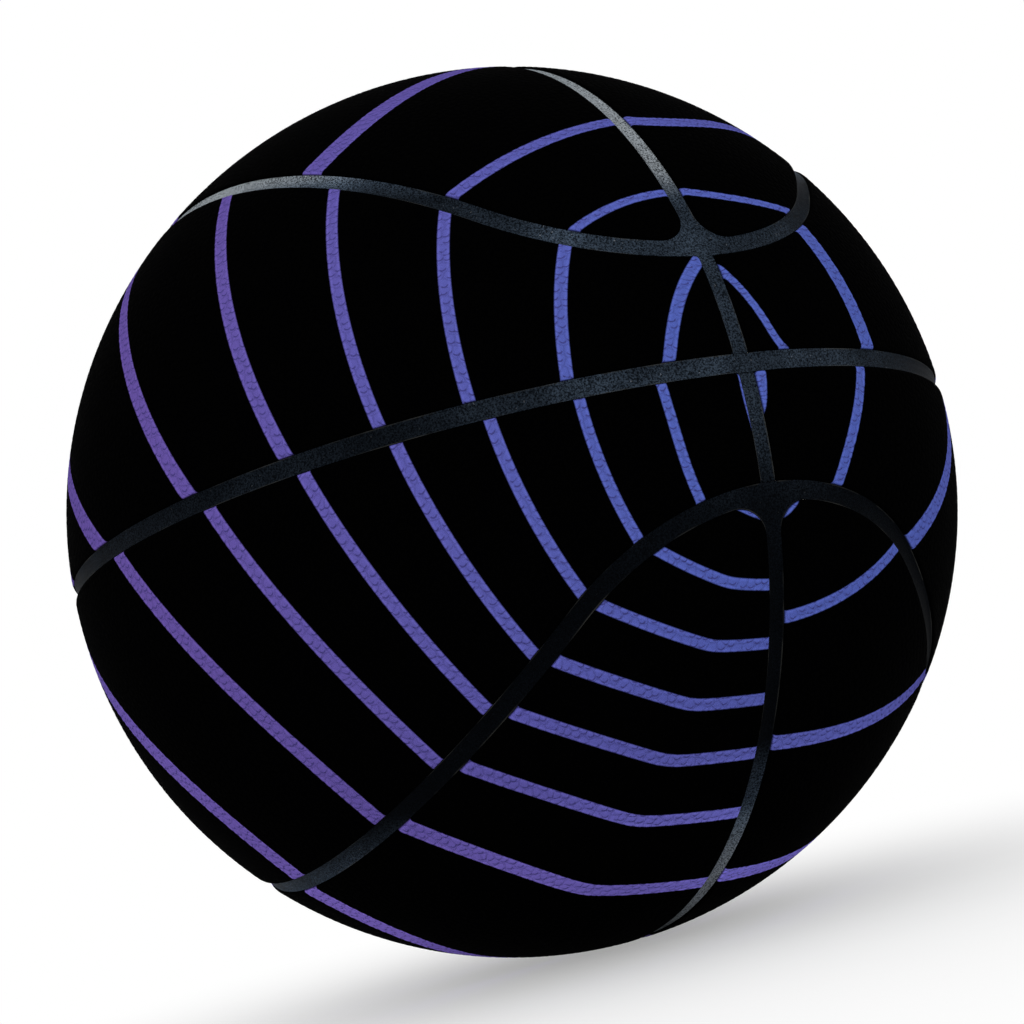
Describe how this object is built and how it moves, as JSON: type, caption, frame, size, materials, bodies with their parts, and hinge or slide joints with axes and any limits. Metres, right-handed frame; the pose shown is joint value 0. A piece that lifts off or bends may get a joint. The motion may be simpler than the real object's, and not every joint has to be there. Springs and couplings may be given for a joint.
{
  "type": "basketball",
  "caption": "Full-size inflated ball with black pebbled cover panels, thin blue and violet ring stripes, grey sunken seam channels and a needle valve.",
  "frame": {"origin": "centre of the ball", "axes": "+Z square to the plane of the centre channel, +X square to the plane of the cross channel, -Y through the front crossing of those two channels; the valve is in the upper right band panel, towards the back"},
  "size_m": [0.24, 0.24, 0.24],
  "materials": {
    "cover": "pebbled composite leather, dull black, printed with thin blue and violet rings",
    "channel_rubber": "finely stippled dark grey rubber",
    "foam_backing": "pale sponge rubber",
    "carcass_rubber": "smooth moulded rubber",
    "wound_thread": "wound nylon thread",
    "bladder_rubber": "butyl rubber",
    "valve_rubber": "soft matt rubber"
  },
  "bodies": {
    "root": {"bladder": "bladder_rubber", "valve_housing": "valve_rubber", "valve_plug": "valve_rubber", "thread_winding": "wound_thread", "carcass": "carcass_rubber", "upper_left_cap_panel": "cover", "upper_right_cap_panel": "cover", "lower_left_cap_panel": "cover", "lower_right_cap_panel": "cover", "upper_left_band_panel": "cover", "upper_right_band_panel": "cover", "lower_left_band_panel": "cover", "lower_right_band_panel": "cover", "upper_left_cap_backing": "foam_backing", "upper_right_cap_backing": "foam_backing", "lower_left_cap_backing": "foam_backing", "lower_right_cap_backing": "foam_backing", "upper_left_band_backing": "foam_backing", "upper_right_band_backing": "foam_backing", "lower_left_band_backing": "foam_backing", "lower_right_band_backing": "foam_backing", "centre_channel": "channel_rubber", "upper_loop_channel": "channel_rubber", "lower_loop_channel": "channel_rubber", "upper_front_bridge": "channel_rubber", "lower_front_bridge": "channel_rubber", "upper_back_bridge": "channel_rubber", "lower_back_bridge": "channel_rubber"}
  },
  "joints": []
}
